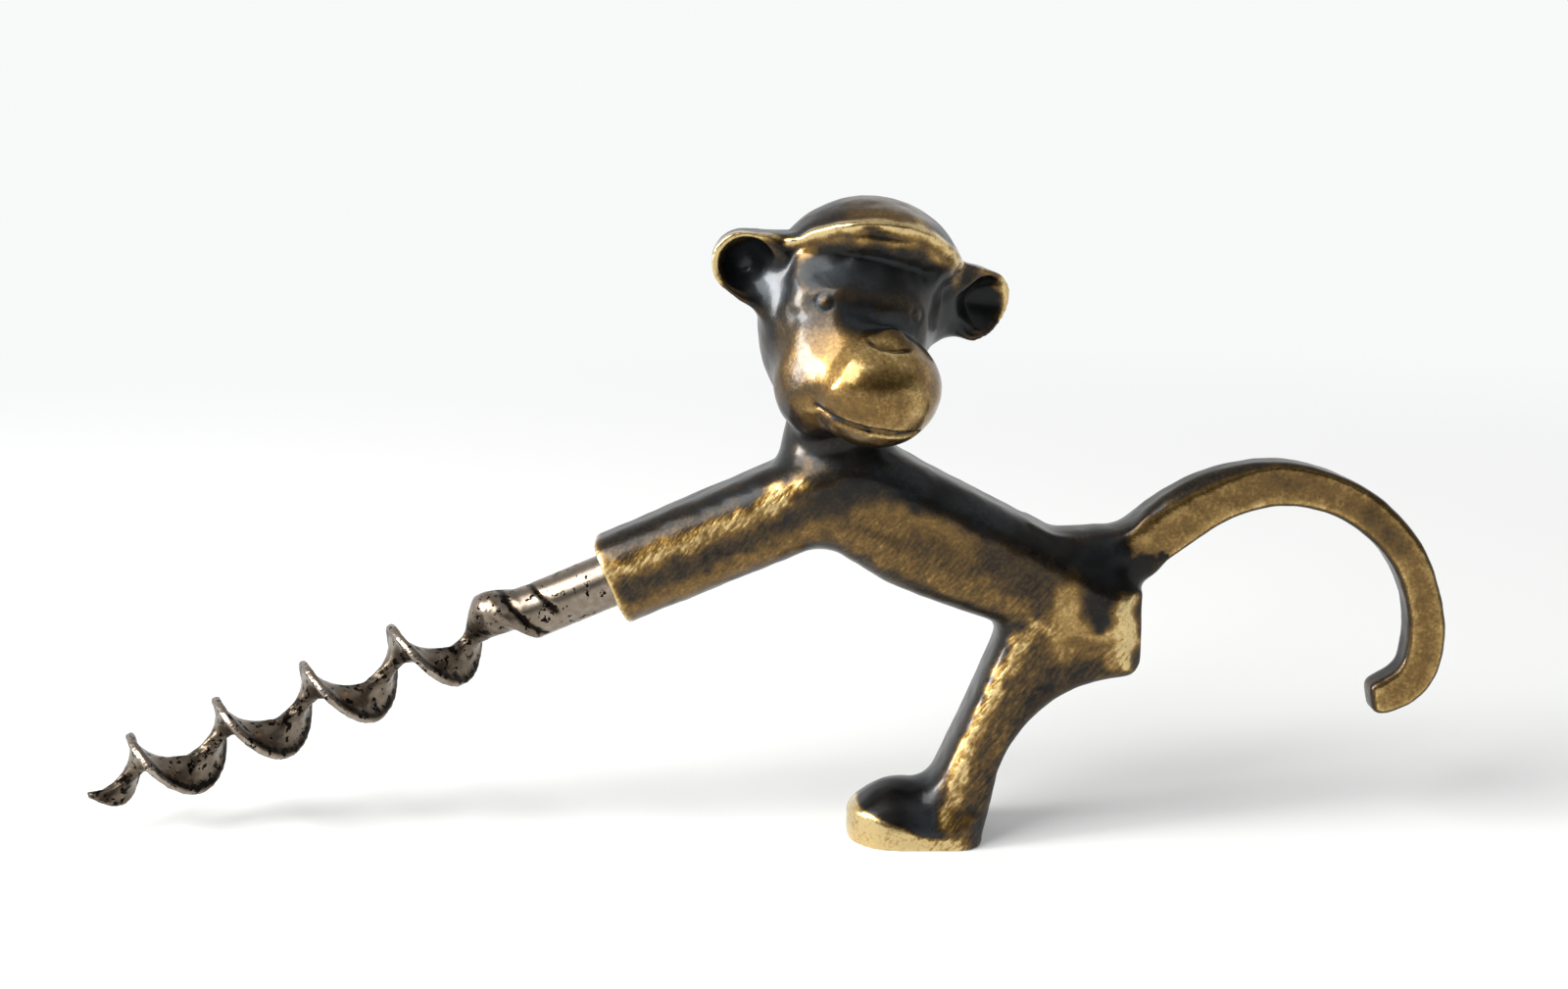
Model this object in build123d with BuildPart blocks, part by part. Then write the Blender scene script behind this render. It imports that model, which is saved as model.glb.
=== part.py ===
from build123d import *
import math
import os

os.makedirs("parts", exist_ok=True)

# A figural corkscrew: a cast brass monkey that reaches forward with joined arms.
# Its arms hold the steel worm, and its curled tail is the cap lifter.
# All lengths are in millimetres and all angles in degrees.
# The origin is on the ground, in the figure's middle plane, under the middle of its foot.
# +X points along the tail, +Y away from the viewer's side, +Z up.

# Worm and shank
worm_rise = 22.9
worm_radius = 4.45
worm_pitch = 10.1
worm_last_crest = 2.1
worm_edge = 0.24
worm_core_radius = 0.55
worm_bore_share = 0.6
worm_root = 4.6
worm_flank_radius = 1.9
worm_flank_width = 1.7
worm_point_length = 6.0
worm_taper_length = 10.0
worm_seat = 0.3
worm_reach = 61.0
shank_diameter = 5.6
shank_visible = 11.1
shank_slant = 30.0
socket_depth = 14.0

# Arms, two cast as one bar
wrist_x = -30.6
wrist_z = 27.9
arm_thickness = 9.3
arm_length = 21.4
armpit_radius = 3.6

# Trunk
nape_x = -5.7
nape_z = 43.6
nape_radius = 8.0
belly_share = 0.23
belly_sag = 1.35
belly_radius = 30.0
back_end_x = 20.5
back_end_z = 29.8
rump_x = 23.5
rump_top_z = 27.6
rump_bottom_z = 18.4
trunk_end_radius = 4.2
rump_bottom_radius = 1.9
trunk_depth = 10.6
wrist_depth = 8.8
rump_depth = 9.2
trunk_edge_radius = 3.6

# Legs, two cast as one
groin_x = 9.4
groin_z = 22.9
leg_angle = 67.0
leg_depth = 8.4
leg_edge_radius = 1.6
knee_x = 11.0
knee_z = 16.7
knee_radius = 14.0
heel_x = 7.6

# Foot, a half-round bar with a filed wall around it
foot_width = 10.0
foot_crown = 6.2
foot_wall = 1.8
toe_x = -6.4
toe_length = 5.2
foot_heel_radius = 2.4

# Tail, the hook of the cap lifter
tail_outer_x = 36.3
tail_outer_z = 21.5
tail_outer_radius = 18.8
tail_width = 5.4
tail_bend_outer_radius = 6.6
tail_bend_width = 4.0
tail_outer_bend_angle = -6.0
tail_inner_bend_angle = -11.0
tail_tip_angle = -92.0
tail_turn_angle = -58.0
tail_tip_length = 2.6
tail_tip_radius = 0.9
tail_leave_angle = 126.0
tail_root_depth = 6.4
tail_depth = 3.2
tail_flat_start_x = 21.5
tail_flat_end_x = 38.0
tail_edge_radius = 0.6
tail_root_radius = 7.0
tail_root_length = 9.0

# Head
head_x = -4.8
head_z = 56.8
head_yaw = 18.0
head_roll = 12.0
head_pitch = 4.0
skull_radius = 10.2
brow_height = 1.6
brow_tilt = 26.0
brow_radius = 2.2
jaw_radius = 8.9
jaw_height_share = 1.3
jaw_side = -1.2
jaw_back = 1.0
jaw_drop = 2.0
neck_radius = 5.2
neck_length = 19.5
cheek_radius = 4.8
cheek_height_share = 1.3
cheek_side = 4.3
cheek_forward = 3.9
cheek_drop = 7.4
muzzle_half_width = 6.6
muzzle_depth_share = 0.92
muzzle_height_share = 0.88
muzzle_side = -0.3
muzzle_forward = 8.0
muzzle_drop = 7.1

# Face: a small nose, a mouth scored around the muzzle and two punched eyes
nose_half_width = 1.5
nose_depth_share = 0.8
nose_height_share = 0.6
nose_forward = 9.6
nose_drop = 1.5
mouth_radius = 0.35
mouth_drop = 2.4
mouth_tilt = 12.5
mouth_start_angle = 182.0
mouth_arc = 123.0
left_eye_turn = -37.0
right_eye_turn = 28.0
eye_lift = 11.0
eye_radius = 0.6
eye_groove_radius = 0.2

# Ears, cupped in front
ear_radius = 3.1
ear_thickness = 3.6
ear_side = 12.8
ear_back = 2.0
ear_lift = 1.4
ear_turn = 18.0
ear_root_radius = 1.2
ear_root_reach = 4.6
ear_root_rise = 2.6
ear_root_drop = 4.2
ear_cup_radius = 3.0
ear_cup_depth = 1.9
ear_cup_shift = 0.4

# How far a cutting shape runs past what it cuts
overrun = 0.5


def place(start, length, angle):
    """Return the point at a distance and a slope from a point of the figure's plane."""
    return (
        start[0] + length * math.cos(math.radians(angle)),
        start[1] + length * math.sin(math.radians(angle)),
    )


rise = math.radians(worm_rise)

# How an upright cylinder stands on its place
upright = (Align.CENTER, Align.CENTER, Align.MIN)

# Places in the figure's plane, as (x, z)
wrist = (wrist_x, wrist_z)
wrist_bottom = place(wrist, arm_thickness / 2, worm_rise - 90)
wrist_top = place(wrist, arm_thickness / 2, worm_rise + 90)
armpit = place(wrist_bottom, arm_length, worm_rise)
nape = (nape_x, nape_z)
back_end = (back_end_x, back_end_z)
rump_top = (rump_x, rump_top_z)
rump_bottom = (rump_x, rump_bottom_z)
belly = (
    armpit[0] + belly_share * (rump_x - armpit[0]),
    armpit[1] + belly_share * (rump_bottom_z - armpit[1]) - belly_sag,
)
figure_plane = Plane.XZ
arm_plane = Plane((wrist_x, 0, wrist_z), x_dir=(0, 1, 0), z_dir=(math.cos(rise), 0, math.sin(rise)))

# Trunk and arms: one outline in the figure's plane, its sides crowned and its long edges rounded
with BuildPart() as trunk:
    with BuildSketch(figure_plane):
        with BuildLine():
            Polyline(
                wrist_bottom, armpit, belly, rump_bottom, rump_top, back_end, nape, wrist_top, close=True
            )
        make_face()
        for corner, radius in (
            (armpit, armpit_radius),
            (belly, belly_radius),
            (rump_bottom, trunk_end_radius),
            (rump_top, trunk_end_radius),
            (back_end, trunk_end_radius),
            (nape, nape_radius),
        ):
            fillet(vertices().sort_by_distance(corner)[0], radius)
    extrude(amount=trunk_depth, both=True)
    with BuildSketch(Plane.XY):
        with BuildLine():
            near = ThreePointArc(
                (wrist_top[0], -wrist_depth / 2), (nape_x, -trunk_depth / 2), (rump_x, -rump_depth / 2)
            )
            far = ThreePointArc(
                (wrist_top[0], wrist_depth / 2), (nape_x, trunk_depth / 2), (rump_x, rump_depth / 2)
            )
            Line(near @ 0, far @ 0)
            Line(near @ 1, far @ 1)
        make_face()
    extrude(amount=nape_z, mode=Mode.INTERSECT)
    wrist_face = faces().sort_by(Axis((wrist_x, 0, wrist_z), (math.cos(rise), 0, math.sin(rise))))[0]
    side_edges = edges().filter_by(lambda edge: abs(edge.center().Y) > wrist_depth / 3)
    fillet(side_edges - wrist_face.edges(), trunk_edge_radius)
    with Locations(arm_plane):
        Cylinder(shank_diameter / 2, socket_depth, align=upright, mode=Mode.SUBTRACT)

# Legs and rump: a second outline, a little thinner than the trunk
leg_top = place((groin_x, groin_z), rump_top_z - groin_z, leg_angle)
leg_bottom = place((groin_x, groin_z), -groin_z / math.sin(math.radians(leg_angle)), leg_angle)
with BuildPart() as legs:
    with BuildSketch(figure_plane):
        with BuildLine():
            Polyline(
                leg_top,
                leg_bottom,
                (heel_x, 0),
                (knee_x, knee_z),
                rump_bottom,
                (rump_x, rump_top_z),
                close=True,
            )
        make_face()
        fillet(vertices().sort_by_distance((knee_x, knee_z))[0], knee_radius)
        fillet(vertices().sort_by_distance(rump_bottom)[0], rump_bottom_radius)
    extrude(amount=leg_depth / 2, both=True)
    side_edges = edges().filter_by(lambda edge: abs(edge.center().Y) > leg_depth / 3)
    fillet(side_edges - edges().group_by(Axis.Z)[0], leg_edge_radius)

# Foot: a half-round bar on its flat, with a rounded toe and a filed wall around it
with BuildPart() as foot:
    with BuildSketch(Plane.XY):
        with Locations((toe_x + toe_length, 0)):
            Ellipse(toe_length, foot_width / 2)
            Rectangle(heel_x - toe_x - toe_length, foot_width, align=(Align.MIN, Align.CENTER))
        fillet(vertices().group_by(Axis.X)[-1], foot_heel_radius)
    extrude(amount=foot_crown)
    with BuildSketch(Plane.YZ.offset(toe_x)):
        with BuildLine():
            Polyline(
                (-foot_width / 2, foot_wall),
                (-foot_width / 2, 0),
                (foot_width / 2, 0),
                (foot_width / 2, foot_wall),
            )
            ThreePointArc((-foot_width / 2, foot_wall), (0, foot_crown), (foot_width / 2, foot_wall))
        make_face()
    extrude(amount=heel_x - toe_x, mode=Mode.INTERSECT)

# Tail: two nearly concentric arcs, closed by a tight bend, and ground flat on both sides
tail_outer = (tail_outer_x, tail_outer_z)
tail_inner_radius = tail_outer_radius - tail_width
tail_bend_inner_radius = tail_bend_outer_radius - tail_bend_width
bend = place(tail_outer, tail_outer_radius - tail_bend_outer_radius, tail_outer_bend_angle)
tail_inner = place(bend, tail_bend_inner_radius - tail_inner_radius, tail_inner_bend_angle)
back_slope = math.degrees(math.atan2(back_end_z - nape_z, back_end_x - nape_x))
back_to_tail = math.hypot(tail_outer_x - nape_x, tail_outer_z - nape_z)
tail_bearing = math.atan2(tail_outer_z - nape_z, tail_outer_x - nape_x) - math.radians(back_slope)
tail_offset = back_to_tail * math.sin(tail_bearing)
dip_distance = back_to_tail * math.cos(tail_bearing) - math.sqrt(tail_outer_radius**2 - tail_offset**2)
dip = place(nape, dip_distance, back_slope)
dip_angle = math.degrees(math.atan2(dip[1] - tail_outer_z, dip[0] - tail_outer_x))
tail_leave = place(tail_inner, tail_inner_radius, tail_leave_angle)
with BuildPart() as tail:
    with BuildSketch(figure_plane):
        with BuildLine():
            CenterArc(tail_outer, tail_outer_radius, dip_angle, tail_outer_bend_angle - dip_angle)
            outer_turn = CenterArc(
                bend, tail_bend_outer_radius, tail_outer_bend_angle, tail_tip_angle - tail_outer_bend_angle
            )
            inner_turn = CenterArc(
                bend, tail_bend_inner_radius, tail_turn_angle, tail_inner_bend_angle - tail_turn_angle
            )
            CenterArc(
                tail_inner,
                tail_inner_radius,
                tail_inner_bend_angle,
                tail_leave_angle - tail_inner_bend_angle,
            )
            tip = Line(inner_turn @ 0, place(tuple(inner_turn @ 0), tail_tip_length, tail_turn_angle - 90))
            Line(outer_turn @ 1, tip @ 1)
            underside = Line(tail_leave, place(tail_leave, -tail_root_length, tail_leave_angle - 90))
            back = Line(dip, place(dip, -tail_root_length, back_slope))
            Polyline(underside @ 1, ((back @ 1).X, (underside @ 1).Y), back @ 1)
        make_face()
        fillet(vertices().sort_by_distance(dip)[0], tail_root_radius)
        fillet(vertices().sort_by_distance(tuple(tip @ 1))[0], tail_tip_radius)
        fillet(vertices().sort_by_distance(tuple(outer_turn @ 1))[0], tail_tip_radius)
    extrude(amount=tail_root_depth / 2, both=True)
    with BuildSketch(Plane.XY):
        with BuildLine():
            Polyline(
                (0, -tail_root_depth / 2),
                (tail_flat_start_x, -tail_root_depth / 2),
                (tail_flat_end_x, -tail_depth / 2),
                (tail_outer_x + tail_outer_radius, -tail_depth / 2),
                (tail_outer_x + tail_outer_radius, 0),
                (0, 0),
                close=True,
            )
        make_face()
        mirror(about=Plane.XZ)
    extrude(amount=tail_outer_z + tail_outer_radius, mode=Mode.INTERSECT)
    rim = edges().filter_by(lambda edge: abs(edge.center().Y) > tail_depth / 3)
    fillet(rim, tail_edge_radius)

# Ear, flat in the plane y = 0, its root towards -X and its cup towards -Y
with BuildPart() as ear:
    with BuildSketch(Plane.XZ):
        Circle(ear_radius)
        with Locations((-ear_root_reach, ear_root_rise), (-ear_root_reach, -ear_root_drop)):
            Circle(ear_root_radius)
        make_hull()
    extrude(amount=ear_thickness / 2, both=True)
    with Locations((-ear_cup_shift, ear_cup_depth - ear_cup_radius - ear_thickness / 2, 0)):
        Sphere(ear_cup_radius, mode=Mode.SUBTRACT)

# Head, upright in its own frame, its face towards -Y
tilt = math.radians(brow_tilt)
scowl = math.radians(mouth_tilt)
lift = math.radians(eye_lift)
eye_reach = jaw_radius / math.hypot(math.cos(lift), math.sin(lift) / jaw_height_share)
jaw_place = Location((jaw_side, jaw_back, -jaw_drop))
cheek_place = Location((-cheek_side, -cheek_forward, -cheek_drop))
muzzle_place = Location((muzzle_side, -muzzle_forward, -muzzle_drop))
nose_place = Location((muzzle_side, -nose_forward, -nose_drop))
ear_in_place = Location((ear_side, ear_back, ear_lift), (0, 0, ear_turn)) * ear.part
with BuildPart() as head:
    Sphere(skull_radius)
    split(bisect_by=Plane((0, 0, brow_height), z_dir=(0, math.sin(tilt), math.cos(tilt))), keep=Keep.TOP)
    fillet(edges(), brow_radius)
    ball = Sphere(jaw_radius, mode=Mode.PRIVATE)
    add(jaw_place * scale(ball, by=(1, 1, jaw_height_share), mode=Mode.PRIVATE))
    with Locations((0, 0, -neck_length)):
        Cylinder(neck_radius, neck_length, align=upright)
    ball = Sphere(cheek_radius, mode=Mode.PRIVATE)
    add(cheek_place * scale(ball, by=(1, 1, cheek_height_share), mode=Mode.PRIVATE))
    ball = Sphere(muzzle_half_width, mode=Mode.PRIVATE)
    add(muzzle_place * scale(ball, by=(1, muzzle_depth_share, muzzle_height_share), mode=Mode.PRIVATE))
    ball = Sphere(nose_half_width, mode=Mode.PRIVATE)
    add(nose_place * scale(ball, by=(1, nose_depth_share, nose_height_share), mode=Mode.PRIVATE))
    add(ear_in_place)
    add(mirror(ear_in_place, about=Plane.YZ, mode=Mode.PRIVATE))
    for turn in (left_eye_turn, right_eye_turn):
        eye_line = Location((0, 0, 0), (0, 0, turn)) * Location((0, 0, 0), (90 - eye_lift, 0, 0))
        with Locations(jaw_place * eye_line * Location((0, 0, eye_reach))):
            Torus(eye_radius, eye_groove_radius, mode=Mode.SUBTRACT)

# Mouth: a groove around the front of the muzzle, drawn on its ball and flattened with it
with BuildPart() as mouth:
    with BuildLine(Plane((0, 0, 0), (1, 0, 0), (0, -math.sin(scowl), math.cos(scowl))).offset(-mouth_drop)):
        mouth_ring_radius = math.sqrt(muzzle_half_width**2 - mouth_drop**2)
        lips = CenterArc((0, 0), mouth_ring_radius, mouth_start_angle, mouth_arc)
    with BuildSketch(lips ^ 0):
        Circle(mouth_radius)
    sweep()
    scale(by=(1, muzzle_depth_share, muzzle_height_share))

head_place = Location((head_x, 0, head_z), (head_pitch, head_roll, head_yaw))
face = head.part - muzzle_place * mouth.part
figure = trunk.part + legs.part + foot.part + tail.part + head_place * face
figure.label = "brass_figure"

# Shank, upright, its lower end cut at a slant
shank_start = worm_reach - shank_visible
slant = math.radians(shank_slant)
with BuildPart() as shank:
    with Locations((0, 0, worm_reach + socket_depth)):
        Cylinder(shank_diameter / 2, worm_reach, align=(Align.CENTER, Align.CENTER, Align.MAX))
    split(bisect_by=Plane((0, 0, shank_start), z_dir=(math.sin(slant), 0, math.cos(slant))), keep=Keep.TOP)

# Worm, upright along +Z from its point, then laid along the arms.
# Its turns are counted from the shank, and its end lies just inside the shank's surface.
worm_length = shank_start - worm_last_crest
worm_start = worm_length - worm_pitch * math.ceil(worm_length / worm_pitch)
worm_end = shank_start + overrun
envelope_radius = worm_radius + overrun
worm_bore = worm_core_radius * worm_bore_share
with BuildPart() as worm:
    with BuildLine() as turns:
        turns_height = shank_start + shank_diameter / 2 - worm_start
        Helix(worm_pitch, turns_height, worm_radius / 2, center=(0, 0, worm_start))
    with BuildSketch(Plane.XZ):
        with BuildLine():
            for side in (-1, 1):
                ThreePointArc(
                    (worm_bore, worm_start + side * worm_root / 2),
                    (worm_flank_radius, worm_start + side * worm_flank_width / 2),
                    (worm_radius, worm_start + side * worm_edge / 2),
                )
            Line((worm_bore, worm_start - worm_root / 2), (worm_bore, worm_start + worm_root / 2))
            Line((worm_radius, worm_start - worm_edge / 2), (worm_radius, worm_start + worm_edge / 2))
        make_face()
    sweep(path=turns.line, is_frenet=True)
    Cylinder(worm_core_radius, worm_end, align=upright)
    with BuildSketch(Plane.XZ):
        with BuildLine():
            Polyline(
                (0, 0),
                (envelope_radius, worm_point_length),
                (envelope_radius, shank_start - worm_taper_length),
                (shank_diameter / 2 - worm_seat, worm_end),
                (0, worm_end),
                close=True,
            )
        make_face()
    revolve(axis=Axis.Z, mode=Mode.INTERSECT)
    add(shank.part)
worm_plane = Plane(
    arm_plane.offset(-worm_reach).origin, x_dir=(-math.sin(rise), 0, math.cos(rise)), z_dir=arm_plane.z_dir
)
worm_in_place = worm_plane.location * worm.part
worm_in_place.label = "steel_worm"
export_step(worm_in_place, "parts/steel_worm.step")
export_step(figure, "parts/brass_figure.step")
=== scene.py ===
import math

import bmesh
import bpy
import numpy as np
from mathutils import Matrix, Vector, noise


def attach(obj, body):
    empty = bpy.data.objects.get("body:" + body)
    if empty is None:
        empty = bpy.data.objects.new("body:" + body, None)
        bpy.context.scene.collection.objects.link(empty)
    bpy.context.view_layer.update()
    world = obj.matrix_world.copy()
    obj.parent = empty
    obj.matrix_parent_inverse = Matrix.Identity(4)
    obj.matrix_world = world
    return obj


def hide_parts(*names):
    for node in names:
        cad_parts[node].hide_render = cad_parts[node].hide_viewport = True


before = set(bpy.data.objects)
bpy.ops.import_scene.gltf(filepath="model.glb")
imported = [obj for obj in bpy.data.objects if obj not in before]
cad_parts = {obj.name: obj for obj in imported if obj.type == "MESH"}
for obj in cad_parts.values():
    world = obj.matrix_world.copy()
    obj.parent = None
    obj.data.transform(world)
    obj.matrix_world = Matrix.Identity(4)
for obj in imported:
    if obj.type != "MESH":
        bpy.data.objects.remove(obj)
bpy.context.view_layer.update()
print("frame loaded")

mm = 0.001  # sizes are in millimetres, apart from the studio's, which are in metres


def hexColour(code):
    # sRGB hex to the linear colour that the nodes use
    parts = [int(code[i:i + 2], 16) / 255 for i in (1, 3, 5)]
    return tuple(c / 12.92 if c <= 0.04045 else ((c + 0.055) / 1.055) ** 2.4 for c in parts) + (1.0,)


def addNode(tree, kind, settings=None, **links):
    # one node: its properties, socket values and Min and Max pairs, and what feeds its sockets;
    # a node given as a source stands for its first output
    node = tree.nodes.new("ShaderNode" + kind)
    for name, value in (settings or {}).items():
        if name in ("From", "To"):
            node.inputs[name + " Min"].default_value = value[0]
            node.inputs[name + " Max"].default_value = value[1]
        elif isinstance(name, int) or name in node.inputs:
            node.inputs[name].default_value = value
        else:
            setattr(node, name, value)
    for name, source in links.items():
        key = int(name[1:]) if name[0] == "i" and name[1:].isdigit() else name.replace("_", " ")
        socket = source.outputs[0] if isinstance(source, bpy.types.Node) else source
        tree.links.new(socket, node.inputs[key])
    return node


def setStops(ramp, colours):
    stops = ramp.color_ramp.elements
    while len(stops) < len(colours):
        stops.new(0.5)
    for stop, (position, code) in zip(stops, colours):
        stop.position = position
        stop.color = hexColour(code)


def newMaterial(name):
    material = bpy.data.materials.new(name)
    material.use_nodes = True
    material.node_tree.nodes.clear()
    return material, material.node_tree


# Camera, at the photograph's angle
camera = {
    "aim": (-13.0, 0.0, 36.7),
    "distance": 200.0,
    "elevation": 12.0,
    "lens": 45.0,
    "sensor": 36.0,
    "clip": (5.0, 20000.0),
}


def placeCamera(view):
    data = bpy.data.cameras.new("camera")
    data.lens = view["lens"]
    data.sensor_width = view["sensor"]
    data.clip_start = view["clip"][0] * mm
    data.clip_end = view["clip"][1] * mm
    tilt = math.radians(view["elevation"])
    away = Vector((0, -math.cos(tilt), math.sin(tilt)))
    obj = bpy.data.objects.new("camera", data)
    obj.location = (Vector(view["aim"]) + away * view["distance"]) * mm
    obj.rotation_euler = (math.radians(90) - tilt, 0, 0)
    bpy.context.scene.collection.objects.link(obj)
    bpy.context.scene.camera = obj


placeCamera(camera)
print("camera placed")

# Studio: white paper that runs into a white wall, with two windows on the left.
# What the metal mirrors of the room is dim in front, bright on the left and at the back, grey overhead.
studio = {
    "floorSize": 8.0,
    "floorColour": "#EEEFED",
    "paperRoughness": 0.9,
    "wallColour": "#F8F9F9",
    "glowFade": (0.06, 0.42),  # how far from the object the paper turns into wall
    "glowLevels": (0.2, 1.0),
    "frontFade": (-0.65, 0.4),
    "frontLevels": (0.1, 1.0),
    "leftFade": (-0.35, -0.9),
    "leftLevels": (0.0, 0.9),
    "ceilingFade": (0.3, 0.8),
    "ceiling": 0.6,
    "roomLight": 0.42,
    "lampAim": (0.0, 0.0, 0.03),
    "window": {"place": (-0.6, -0.42, 0.6), "size": 0.62, "power": 9.5},
    "sideWindow": {"place": (-0.88, -0.22, 0.27), "size": 0.26, "power": 10.0},
}


def seenRays(tree):
    # 1 where the ray shows the background: to the camera, in metal and through glass
    path = addNode(tree, "LightPath")
    shown = addNode(tree, "Math", {"operation": "MAXIMUM"},
                    i0=path.outputs["Is Camera Ray"], i1=path.outputs["Is Glossy Ray"])
    return addNode(tree, "Math", {"operation": "MAXIMUM"}, i0=shown, i1=path.outputs["Is Transmission Ray"])


def buildFloor(look):
    # away from the object the paper brightens until it is one with the wall
    bm = bmesh.new()
    bmesh.ops.create_grid(bm, x_segments=1, y_segments=1, size=look["floorSize"] / 2)
    mesh = bpy.data.meshes.new("floor")
    bm.to_mesh(mesh)
    bm.free()
    floor = bpy.data.objects.new("floor", mesh)
    bpy.context.scene.collection.objects.link(floor)
    material, tree = newMaterial("whitePaperFloor")
    place = addNode(tree, "TexCoord").outputs["Object"]
    away = addNode(tree, "VectorMath", {"operation": "LENGTH"}, i0=place)
    fade = {"interpolation_type": "SMOOTHSTEP", "From": look["glowFade"], "To": look["glowLevels"]}
    glow = addNode(tree, "MapRange", fade, Value=away.outputs["Value"])
    share = addNode(tree, "Math", {"operation": "MULTIPLY"}, i0=seenRays(tree), i1=glow)
    paper = addNode(tree, "BsdfPrincipled",
                    {"Base Color": hexColour(look["floorColour"]), "Roughness": look["paperRoughness"]})
    wall = addNode(tree, "Emission", {"Color": hexColour(look["wallColour"]), "Strength": 1.0})
    mix = addNode(tree, "MixShader", None, i0=share, i1=paper, i2=wall)
    addNode(tree, "OutputMaterial", None, Surface=mix)
    mesh.materials.append(material)


def buildRoom(look):
    # the camera sees a white wall all around; metal sees the room, and the object is lit evenly
    world = bpy.data.worlds.new("room")
    bpy.context.scene.world = world
    world.use_nodes = True
    tree = world.node_tree
    tree.nodes.clear()
    where = addNode(tree, "TexCoord").outputs["Generated"]
    split = addNode(tree, "SeparateXYZ", None, Vector=where)
    fade = {"interpolation_type": "SMOOTHSTEP", "From": look["frontFade"], "To": look["frontLevels"]}
    depth = addNode(tree, "MapRange", fade, Value=split.outputs["Y"])
    fade = {"interpolation_type": "SMOOTHSTEP", "From": look["leftFade"], "To": look["leftLevels"]}
    left = addNode(tree, "MapRange", fade, Value=split.outputs["X"])
    walls = addNode(tree, "Math", {"operation": "MAXIMUM"}, i0=depth, i1=left)
    fade = {"interpolation_type": "SMOOTHSTEP", "From": look["ceilingFade"]}
    over = addNode(tree, "MapRange", fade, Value=split.outputs["Z"])
    level = addNode(tree, "Mix", {"data_type": "FLOAT", 3: look["ceiling"]}, i0=over, i2=walls)
    toCamera = addNode(tree, "LightPath").outputs["Is Camera Ray"]
    shown = addNode(tree, "Math", {"operation": "MAXIMUM"}, i0=level, i1=toCamera)
    seen = addNode(tree, "Background", {"Color": hexColour(look["wallColour"])}, Strength=shown)
    light = addNode(tree, "Background", {"Color": (1, 1, 1, 1), "Strength": look["roomLight"]})
    mix = addNode(tree, "MixShader", None, i0=seenRays(tree), i1=light, i2=seen)
    addNode(tree, "OutputWorld", None, Surface=mix)


def addLamp(name, look):
    lamp = look[name]
    data = bpy.data.lights.new(name, "AREA")
    data.shape = "SQUARE"
    data.size = lamp["size"]
    data.energy = lamp["power"]
    obj = bpy.data.objects.new(name, data)
    obj.location = lamp["place"]
    way = Vector(look["lampAim"]) - Vector(lamp["place"])
    obj.rotation_euler = way.to_track_quat("-Z", "Y").to_euler()
    bpy.context.scene.collection.objects.link(obj)


buildFloor(studio)
buildRoom(studio)
addLamp("window", studio)
addLamp("sideWindow", studio)
bpy.context.scene.view_settings.view_transform = "Standard"
print("studio built")

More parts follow.
